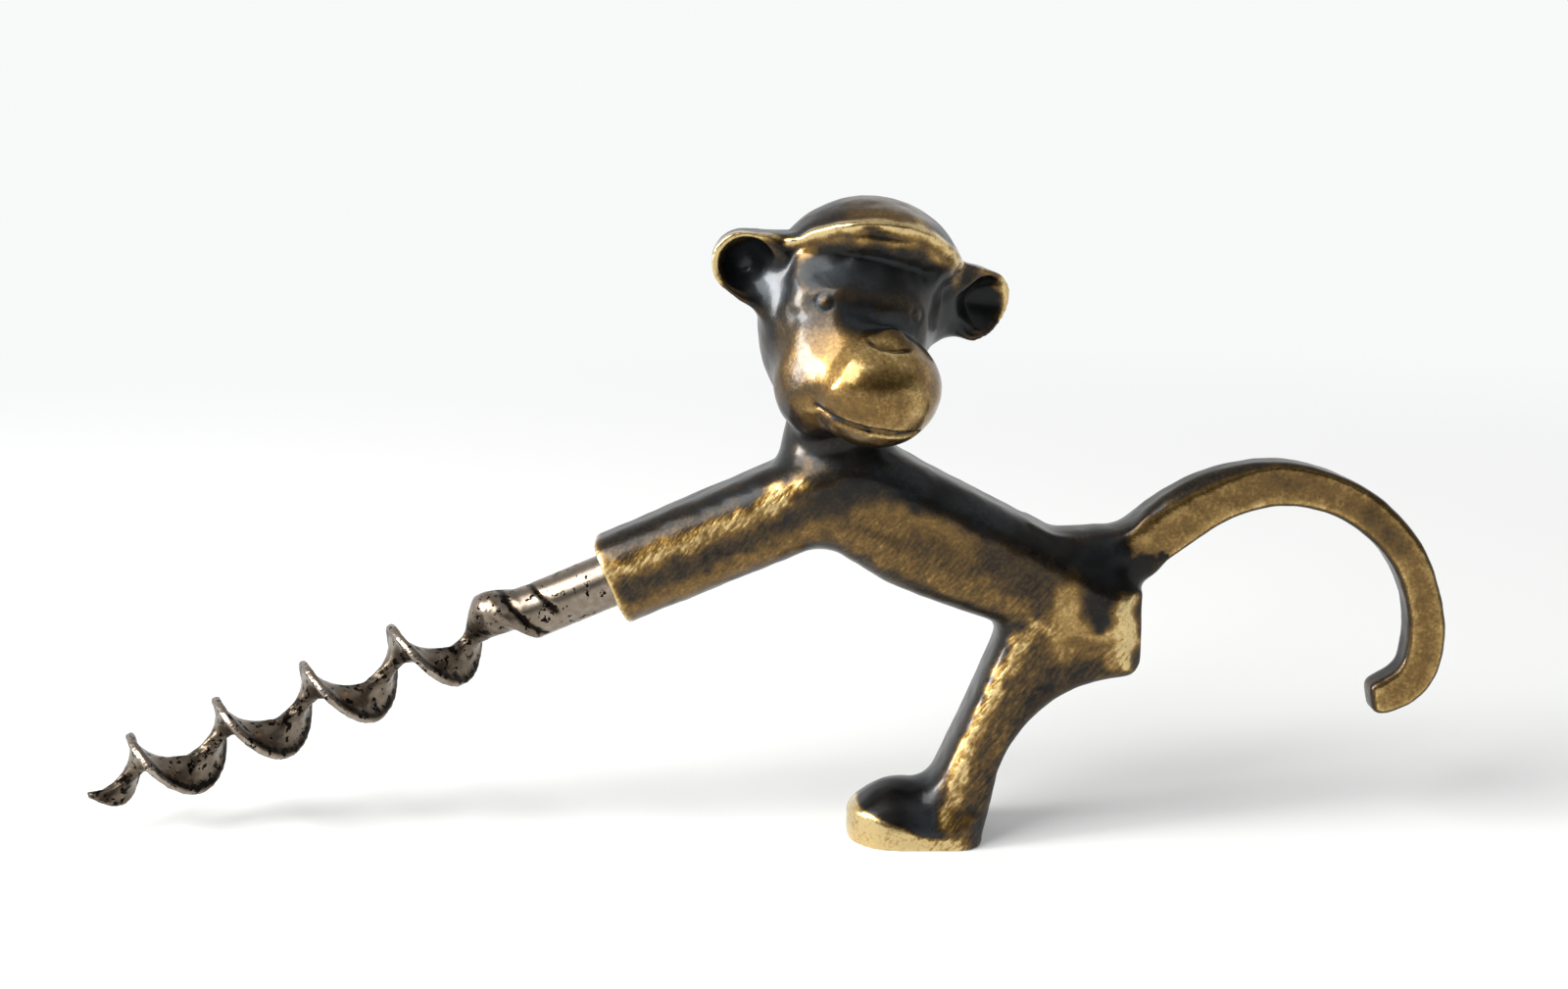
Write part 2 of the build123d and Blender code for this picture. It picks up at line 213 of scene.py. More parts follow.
# The casting: a fine even mesh over the CAD shape, its creases filled and small marks worked in by hand.
# Places on the head are seen from the head, its face towards -Y.
casting = {
    "voxel": 0.2,
    "triangles": 190000,
    "headPlace": (-4.8, 0.0, 56.8),
    "headTurns": (4.0, 12.0, 18.0),
    "evenStrength": 0.5,
    "evenPasses": 2,
    "lastStrength": 0.45,
    "lastPasses": 3,
    "waviness": 0.06,
    "waveLength": 5.0,
    "dents": 0.025,
    "dentLength": 1.4,
    "soleFade": (0.05, 1.0),
    # where a crease is filled as in a casting: centre, reach, strength, passes
    "headBlends": [
        ((-5.6, -6.5, -6.5), (5.0, 5.5, 7.5), 0.95, 900),
        ((-8.6, -1.0, -5.5), (3.5, 4.0, 6.0), 0.95, 500),
        ((-9.5, 1.5, -1.5), (3.2, 3.5, 4.5), 0.9, 400),
        ((9.0, 0.8, -2.2), (3.6, 4.0, 4.5), 0.95, 700),
        ((8.5, 0.0, 1.5), (2.8, 3.5, 3.0), 0.8, 200),
        ((0.0, 4.5, 0.0), (12.0, 6.0, 4.0), 0.8, 250),
        ((4.5, -5.0, -7.5), (4.0, 4.5, 5.5), 0.6, 300),
        ((0.0, -4.0, -13.5), (7.0, 5.0, 3.0), 0.6, 200),
    ],
    "bodyBlends": [
        ((-11.0, 0.0, 43.5), (5.5, 8.0, 6.0), 0.9, 220),
        ((-5.0, 0.0, 41.0), (10.0, 8.0, 5.5), 0.8, 300),
        ((10.0, 0.0, 24.0), (8.0, 7.5, 6.0), 0.9, 300),
        ((18.0, 0.0, 27.5), (8.0, 7.0, 5.0), 0.9, 300),
        ((20.5, 0.0, 31.0), (8.0, 6.0, 5.5), 0.95, 500),
        ((2.0, 0.0, 5.0), (6.0, 7.0, 5.0), 0.9, 300),
        ((-9.0, 0.0, 31.0), (5.0, 7.0, 5.0), 0.8, 220),
    ],
    # marks that a filled crease may not swallow: centre, reach
    "keptMarks": [
        ((-6.6, -6.0, 0.1), (1.8, 1.8, 1.8)),
        ((3.1, -6.9, 0.3), (1.8, 1.8, 1.8)),
        ((-0.3, -10.2, -1.6), (2.4, 1.8, 1.2)),
        ((-13.2, 0.2, 1.4), (3.4, 2.4, 3.6)),
        ((13.2, 0.2, 1.4), (3.4, 2.4, 3.6)),
    ],
    # where an edge is rubbed soft: centre, reach, strength, passes
    "headSoftens": [
        ((-10.6, 0.0, -0.2), (2.8, 3.6, 3.4), 0.9, 260),
        ((10.4, 0.2, -0.4), (2.8, 3.6, 3.4), 0.9, 260),
        ((13.2, 1.6, 1.0), (2.8, 3.6, 3.0), 0.7, 160),
        ((7.6, -3.6, -0.8), (3.2, 4.2, 5.2), 0.9, 300),
        ((9.4, 0.2, -3.0), (3.0, 3.8, 3.0), 0.9, 300),
        ((-9.8, -0.6, 4.8), (1.8, 2.2, 1.6), 0.7, 60),
        ((-6.8, -4.4, 3.2), (3.0, 3.0, 2.6), 0.7, 90),
        ((0.0, -6.8, 3.6), (7.0, 3.0, 1.8), 0.7, 90),
        ((6.2, -4.8, 1.8), (3.4, 3.0, 4.2), 0.8, 140),
        ((-6.6, -7.2, -5.0), (3.8, 4.4, 6.4), 0.85, 260),
        ((-5.8, -8.9, -4.6), (2.4, 3.0, 4.2), 0.9, 260),
        ((-0.3, -10.3, -1.7), (3.4, 2.0, 1.8), 0.6, 60),
        ((-6.6, -6.0, 0.1), (1.6, 1.6, 1.6), 0.5, 10),
        ((3.1, -6.9, 0.3), (1.6, 1.6, 1.6), 0.5, 10),
    ],
    "bodySoftens": [
        ((20.6, 0.0, 30.2), (5.0, 7.5, 5.0), 0.85, 220),
        ((9.5, 0.0, 25.0), (4.0, 7.0, 4.0), 0.7, 60),
    ],
    # the leg's front edge, seen from the side, is rounded most of all
    "legEdge": [(12.6, 24.6), (10.2, 21.0), (8.4, 18.0), (7.2, 15.4), (6.1, 12.8), (4.9, 9.7), (4.2, 7.0)],
    "legEdgeWidth": 2.2,
    "legEdgeStrength": 0.8,
    "legEdgePasses": 120,
    # where wax was added: the ellipsoids' centres and radii
    "headWax": [
        ((-4.6, -4.6, -4.2), (3.9, 3.3, 4.4)),
        ((-4.0, -6.0, -6.0), (4.0, 3.6, 5.5)),
        ((-4.2, -6.0, -4.4), (3.5, 3.7, 3.4)),
        ((9.0, 0.2, -1.6), (2.8, 2.2, 1.7)),
    ],
    "waxCore": 0.2,  # shares of the radii
    "waxSpread": 1.5,
    "waxStrength": 0.8,
    "waxPasses": 60,
    # where the soft wax was pushed: centre, reach, way
    "headPushes": [
        ((-0.5, -6.6, 4.6), (10.5, 3.8, 4.6), (0.0, 1.1, 0.0)),
        ((-6.8, -4.4, 4.0), (4.0, 3.6, 3.8), (0.45, 0.75, 0.0)),
        ((-0.8, -11.0, -1.6), (2.6, 1.6, 1.8), (0.0, 0.35, -0.2)),
        ((13.4, 0.8, -1.9), (3.4, 4.0, 3.0), (0.2, 0.0, -0.5)),
        ((10.0, 0.5, -2.8), (2.8, 3.4, 2.2), (0.0, 0.0, 0.5)),
        ((-0.8, -10.4, -1.5), (2.6, 1.8, 1.8), (0.0, 0.0, -0.85)),
        ((0.0, -4.5, 8.6), (7.0, 3.0, 2.2), (0.0, -0.25, 0.25)),
        ((-6.4, -6.4, -9.0), (3.0, 3.2, 3.4), (-0.4, -0.5, 0.0)),
    ],
    "bodyPushes": [
        ((18.0, 0.0, 31.8), (5.5, 6.5, 3.2), (0.1, 0.0, 0.9)),
        ((24.0, 0.0, 29.2), (3.0, 4.0, 3.0), (0.5, 0.0, -0.4)),
    ],
    # each ear's cup opens towards the head; places are those of the ear on +X
    "earScoop": [(12.6, 0.8, 0.8), (11.0, 0.2, 0.1), (9.8, -0.3, -0.5)],
    "earFacing": (0.31, -0.95, 0.0),
    "earFade": (-0.1, 0.5),
    "earStart": 8.2,
    "earScoopDepth": 1.5,
    "earScoopWidth": 1.7,
    # the half-round foot runs down to a lower, rounded toe
    "toeStart": -1.0,
    "toeLength": 5.4,
    "toeDrop": 0.5,
    "footFront": -8.0,
    "footTop": 8.0,
    # the tail is an arc seen from the side, with its half width at the root and further on
    "tailCentre": (36.3, 21.5),
    "tailRadius": 18.8,
    "tailDepths": (3.2, 1.6),
    "tailDepthEnds": (21.5, 38.0),
    "tailRound": 1.9,
    "leastRound": 0.01,
    "tailRoundEnd": 1.35,  # a share of the way between the depth's ends
    "tailEnds": (16.0, 46.0),
    "tailLow": 5.0,
    "tailRootFade": (17.0, 4.0),
    "tailRoundFade": (20.5, 4.5),
    # the rump's upright edges are filed to narrow flats; the place is that of the flat on +Y
    "rumpFlat": (22.7, 3.5, 23.5),
    "rumpFlatNormal": (0.62, 0.78, 0.0),
    "rumpFlatReach": (2.5, 2.5, 4.6),
}
weldDistance = 0.002
weightLimit = 0.01  # points that weigh less stay where they are
spotFullness = 1.25  # over 1, a spot is full some way round its centre
brushFullness = 1.35
# the end of the arms, where the worm's shank goes in, and the way that the arms rise from it
wrist = np.array((-30.6, 0.0, 27.9))
armRise = math.radians(22.9)
armAlong = np.array((math.cos(armRise), 0, math.sin(armRise)))
armUp = np.array((-math.sin(armRise), 0, math.cos(armRise)))


class Skin:
    # a mesh's points in millimetres, with the neighbours and normals that the sculpting needs
    def __init__(self, mesh):
        self.mesh = mesh
        count = len(mesh.vertices)
        flat = np.zeros(count * 3, np.float32)
        mesh.vertices.foreach_get("co", flat)
        self.points = flat.reshape(-1, 3).astype(float) / mm
        ends = np.zeros(len(mesh.edges) * 2, np.int32)
        mesh.edges.foreach_get("vertices", ends)
        self.ends = ends.reshape(-1, 2)
        self.refresh()

    def refresh(self):
        self.mesh.vertices.foreach_set("co", (self.points * mm).astype(np.float32).ravel())
        self.mesh.update()
        flat = np.zeros(len(self.points) * 3, np.float32)
        self.mesh.vertices.foreach_get("normal", flat)
        self.normals = flat.reshape(-1, 3).astype(float)

    def meanOf(self, points, a, b, degree):
        # each point's neighbours' mean
        total = [np.bincount(a, points[b, k], len(points)) + np.bincount(b, points[a, k], len(points))
                 for k in range(3)]
        return np.stack(total, 1) / degree[:, None]

    def soften(self, weight, passes, hollowsOnly=False):
        # each point goes towards its neighbours' mean; with hollowsOnly a raised one stays
        touched = weight > weightLimit
        ends = self.ends[touched[self.ends].any(1)]
        members = np.unique(ends)
        number = np.zeros(len(self.points), np.int64)
        number[members] = np.arange(len(members))
        a, b = number[ends[:, 0]], number[ends[:, 1]]
        degree = np.bincount(a, minlength=len(members)) + np.bincount(b, minlength=len(members))
        points, normals, share = self.points[members], self.normals[members], weight[members][:, None]
        for step in range(passes):
            move = self.meanOf(points, a, b, degree) - points
            if hollowsOnly:
                move *= ((move * normals).sum(1) > 0)[:, None]
            points += move * share
        self.points[members] = points
        self.refresh()

    def raised(self, passes):
        # how far each point stands over the skin around it
        a, b = self.ends[:, 0], self.ends[:, 1]
        degree = np.bincount(a, minlength=len(self.points)) + np.bincount(b, minlength=len(self.points))
        around = self.points
        for step in range(passes):
            around = self.meanOf(around, a, b, degree)
        return ((self.points - around) * self.normals).sum(1)

    def trim(self, centre, normal, reach):
        # files a flat: what stands over a plane near its centre comes down to it
        normal = np.array(normal, float) / np.linalg.norm(normal)
        offset = self.points - np.array(centre)
        over = offset @ normal
        inside = (np.abs(offset) < np.array(reach)).all(1) & (over > 0)
        self.points[inside] -= normal * over[inside, None]

    def roughen(self, slowSize, slowLength, quickSize, quickLength, weight):
        # the wavering of a surface that was shaped and cleaned by hand
        moves = np.zeros(len(self.points))
        elsewhere = Vector((7, 3, 5))
        for k, p in enumerate(self.points):
            slow = noise.noise(Vector(p / slowLength))
            quick = noise.noise(Vector(p / quickLength) + elsewhere)
            moves[k] = 2 * (slow * slowSize + quick * quickSize)
        self.points += self.normals * (moves * weight)[:, None]
        self.refresh()


turns = [Matrix.Rotation(math.radians(a), 3, axis) for a, axis in zip(casting["headTurns"], "XYZ")]
headTurn = np.array(turns[0] @ turns[1] @ turns[2])


def headPoints(points):
    # the same points seen from the head
    return (points - np.array(casting["headPlace"])) @ headTurn


def smoothStep(t):
    t = np.clip(t, 0, 1)
    return t * t * (3 - 2 * t)


def fadeIn(values, fade):
    # 0 up to the fade's start, 1 once its length is past
    return smoothStep((values - fade[0]) / fade[1])


def ridge(distance, width):
    # 1 on a line, with a soft fall on both sides
    return np.exp(-(distance / width) ** 2)


def spot(points, centre, reach):
    # 1 at the centre of an ellipsoid, 0 outside it
    away = np.linalg.norm((points - np.array(centre)) / np.array(reach), axis=1)
    return smoothStep(spotFullness * (1 - away))


def lineDistance(points, path):
    # the distance from each point to a line through the path's points
    best = np.full(len(points), 1e9)
    for start, end in zip(path[:-1], path[1:]):
        start, along = np.array(start, float), np.array(end, float) - np.array(start, float)
        share = np.clip(((points - start) @ along) / max(along @ along, 1e-9), 0, 1)
        best = np.minimum(best, np.linalg.norm(points - start - share[:, None] * along, axis=1))
    return best


def stroke(points, path, radius):
    # 1 under a brush that follows the path, 0 beyond its edge
    return smoothStep(brushFullness - lineDistance(points, path) / radius)


def applied(obj, modifier):
    # the object's mesh with this modifier's work in it
    graph = bpy.context.evaluated_depsgraph_get()
    mesh = bpy.data.meshes.new_from_object(obj.evaluated_get(graph))
    obj.modifiers.remove(modifier)
    mesh.polygons.foreach_set("use_smooth", np.ones(len(mesh.polygons), bool))
    return mesh


def fineCopy(node, name, voxel):
    # an even mesh over a CAD node's shape, for sculpting
    bm = bmesh.new()
    bm.from_mesh(node.data)
    bmesh.ops.remove_doubles(bm, verts=bm.verts, dist=weldDistance * mm)
    bmesh.ops.recalc_face_normals(bm, faces=bm.faces)
    mesh = bpy.data.meshes.new(name)
    bm.to_mesh(mesh)
    bm.free()
    obj = bpy.data.objects.new(name, mesh)
    bpy.context.scene.collection.objects.link(obj)
    remesh = obj.modifiers.new("remesh", "REMESH")
    remesh.mode = "VOXEL"
    remesh.voxel_size = voxel * mm
    obj.data = applied(obj, remesh)
    return obj


def thinOut(obj, limit):
    # fewer triangles where the shape is flatter; the painted numbers go along
    count = len(obj.data.loops) - 2 * len(obj.data.polygons)
    if count > limit:
        thin = obj.modifiers.new("thin", "DECIMATE")
        thin.ratio = limit / count
        obj.data = applied(obj, thin)


def paint(obj, name, values):
    # one number for each point of the mesh, which its material reads
    attribute = obj.data.attributes.new(name, "FLOAT", "POINT")
    attribute.data.foreach_set("value", values.astype(np.float32))


def blendCreases(skin, shape):
    head = headPoints(skin.points)
    kept = np.ones(len(head))
    for centre, reach in shape["keptMarks"]:
        kept *= 1 - spot(head, centre, reach)
    for points, blends in ((skin.points.copy(), shape["bodyBlends"]), (head, shape["headBlends"])):
        for centre, reach, strength, passes in blends:
            weight = spot(points, centre, reach) * strength * kept
            for part in range(4):  # the normals are renewed between the parts
                skin.soften(weight, passes // 4, hollowsOnly=True)


def addWax(skin, shape):
    # what lies inside an ellipsoid comes out to its surface
    for centre, radii in shape["headWax"]:
        head = headPoints(skin.points)
        share = (head - np.array(centre)) / np.array(radii)
        reach = np.linalg.norm(share, axis=1)
        inside = (reach < 1) & (reach > shape["waxCore"])
        out = (share / reach[:, None] * np.array(radii) + np.array(centre) - head)[inside]
        skin.points[inside] += out @ headTurn.T
        around = spot(head, centre, np.array(radii) * shape["waxSpread"])
        skin.soften(around * shape["waxStrength"], shape["waxPasses"])
    skin.refresh()


def pushWax(skin, shape):
    head, body = headPoints(skin.points), skin.points.copy()
    for centre, reach, way in shape["bodyPushes"]:
        skin.points += spot(body, centre, reach)[:, None] * np.array(way)
    for centre, reach, way in shape["headPushes"]:
        skin.points += spot(head, centre, reach)[:, None] * (headTurn @ np.array(way))
    skin.refresh()


def scoopEars(skin, shape):
    # an ear is a scoop with a rim above and outside
    head = headPoints(skin.points)
    for side in (-1, 1):
        mirror = np.array((side, 1, 1))
        facing = headTurn @ (np.array(shape["earFacing"]) * mirror)
        seen = fadeIn(skin.normals @ facing, shape["earFade"]) * (head[:, 0] * side > shape["earStart"])
        away = lineDistance(head, [np.array(place) * mirror for place in shape["earScoop"]])
        depth = shape["earScoopDepth"] * ridge(away, shape["earScoopWidth"]) * seen
        skin.points -= facing * depth[:, None]
    skin.refresh()


def rubEdges(skin, shape):
    body, head = skin.points.copy(), headPoints(skin.points)
    for points, softens in ((body, shape["bodySoftens"]), (head, shape["headSoftens"])):
        for centre, reach, strength, passes in softens:
            skin.soften(spot(points, centre, reach) * strength, passes)
    edge = stroke(skin.points[:, [0, 2]], shape["legEdge"], shape["legEdgeWidth"])
    skin.soften(edge * shape["legEdgeStrength"], shape["legEdgePasses"])


def shapeToe(skin, shape):
    share = np.clip((shape["toeStart"] - skin.points[:, 0]) / shape["toeLength"], 0, 1)
    foot = (skin.points[:, 2] < shape["footTop"]) & (skin.points[:, 0] > shape["footFront"])
    skin.points[foot, 2] *= 1 - shape["toeDrop"] * share[foot] ** 2


def roundTail(skin, shape):
    # the tail's outer edge is broad and round at its root and thins out along the curve
    x, z = skin.points[:, 0] - shape["tailCentre"][0], skin.points[:, 2] - shape["tailCentre"][1]
    radius = np.hypot(x, z)
    start, end = shape["tailDepthEnds"]
    share = (skin.points[:, 0] - start) / (end - start)
    atRoot, further = shape["tailDepths"]
    depth = atRoot + (further - atRoot) * np.clip(share, 0, 1)
    rooted = fadeIn(skin.points[:, 0], shape["tailRootFade"])
    corner = shape["tailRound"] * smoothStep(shape["tailRoundEnd"] - share) * rooted + shape["leastRound"]
    out = radius - (shape["tailRadius"] - corner)
    aside = np.abs(skin.points[:, 1]) - (depth - corner)
    over = np.hypot(out, aside)
    start, end = shape["tailEnds"]
    onTail = (skin.points[:, 0] > start) & (skin.points[:, 0] < end) & (z > shape["tailLow"])
    inside = (out > 0) & (aside > 0) & (over > corner) & onTail
    fade = fadeIn(skin.points[inside, 0], shape["tailRoundFade"])
    shrink = 1 + (corner / np.maximum(over, 1e-6) - 1)[inside] * fade
    newRadius = radius[inside] + out[inside] * (shrink - 1)
    skin.points[inside, 0] = shape["tailCentre"][0] + x[inside] * newRadius / radius[inside]
    skin.points[inside, 2] = shape["tailCentre"][1] + z[inside] * newRadius / radius[inside]
    skin.points[inside, 1] += np.sign(skin.points[inside, 1]) * aside[inside] * (shrink - 1)


def fileFlats(skin, shape):
    for side in (-1, 1):
        mirror = np.array((1, side, 1))
        centre = np.array(shape["rumpFlat"]) * mirror
        skin.trim(centre, np.array(shape["rumpFlatNormal"]) * mirror, shape["rumpFlatReach"])


# The face's small marks, seen from the head: depths, heights and widths of the lines cut and raised
face = {
    "muzzle": (-0.3, -8.0, -7.1),
    "muzzleRadii": (6.6, 6.07, 5.81),
    "mouthDrop": 2.4,
    "mouthTilt": 12.5,
    "mouthAngles": (182, 306),
    "mouthDepth": 0.26,
    "mouthWidth": 0.28,
    "lipDrop": 0.95,
    "lipRise": 0.12,
    "lipWidth": 0.6,
    "eyes": ((-6.6, -6.0, 0.1), (3.1, -6.9, 0.3)),
    "eyeRadius": 0.85,
    "eyeDepth": 0.06,
    "eyeLine": 0.25,
    "eyeDome": 0.12,
    "eyeDomeWidth": 0.5,
    "crest": [(-9.4, -1.0, 4.6), (-7.9, -2.6, 6.0), (-5.7, -4.4, 7.4), (-3.2, -5.5, 8.1),
              (0.1, -5.9, 8.3), (2.9, -5.6, 7.9), (5.8, -4.6, 6.6), (8.6, -1.6, 4.7)],
    "crestRise": 0.34,
    "crestWidth": 0.5,
    "bandDrop": 0.9,
    "bandHollow": 0.18,
    "bandWidth": 0.45,
    "lineForward": 0.1,
    "toolMark": [(-3.1, -6.2, 7.1), (0.5, -6.8, 7.2)],
    "toolDepth": 0.2,
    "toolWidth": 0.4,
}


def mouthPath(marks):
    # the groove's line around the ball of the muzzle, from its left corner to its right
    tilt = math.radians(marks["mouthTilt"])
    ball = marks["muzzleRadii"][0]
    ring = math.sqrt(ball ** 2 - marks["mouthDrop"] ** 2)
    path = []
    for angle in np.radians(np.linspace(*marks["mouthAngles"], 30)):
        x, y, z = ring * math.cos(angle), ring * math.sin(angle), -marks["mouthDrop"]
        y, z = y * math.cos(tilt) - z * math.sin(tilt), y * math.sin(tilt) + z * math.cos(tilt)
        path.append([c + p * r / ball for c, p, r in zip(marks["muzzle"], (x, y, z), marks["muzzleRadii"])])
    return path


def lowered(path, drop):
    # the line that runs below another, a touch further out
    return [(x, y - face["lineForward"], z - drop) for x, y, z in path]


def carveFace(skin, marks):
    head = headPoints(skin.points)
    mouth, crest = mouthPath(marks), marks["crest"]
    moves = -marks["mouthDepth"] * ridge(lineDistance(head, mouth), marks["mouthWidth"])
    lip = lineDistance(head, lowered(mouth, marks["lipDrop"]))
    moves += marks["lipRise"] * ridge(lip, marks["lipWidth"])
    for eye in marks["eyes"]:
        away = np.linalg.norm(head - np.array(eye), axis=1)
        moves -= ridge(away - marks["eyeRadius"], marks["eyeLine"]) * marks["eyeDepth"]
        moves += ridge(away, marks["eyeDomeWidth"]) * marks["eyeDome"]
    moves += ridge(lineDistance(head, crest), marks["crestWidth"]) * marks["crestRise"]
    band = lineDistance(head, lowered(crest, marks["bandDrop"]))
    moves -= ridge(band, marks["bandWidth"]) * marks["bandHollow"]
    moves -= ridge(lineDistance(head, marks["toolMark"]), marks["toolWidth"]) * marks["toolDepth"]
    skin.points += skin.normals * moves[:, None]
    skin.refresh()


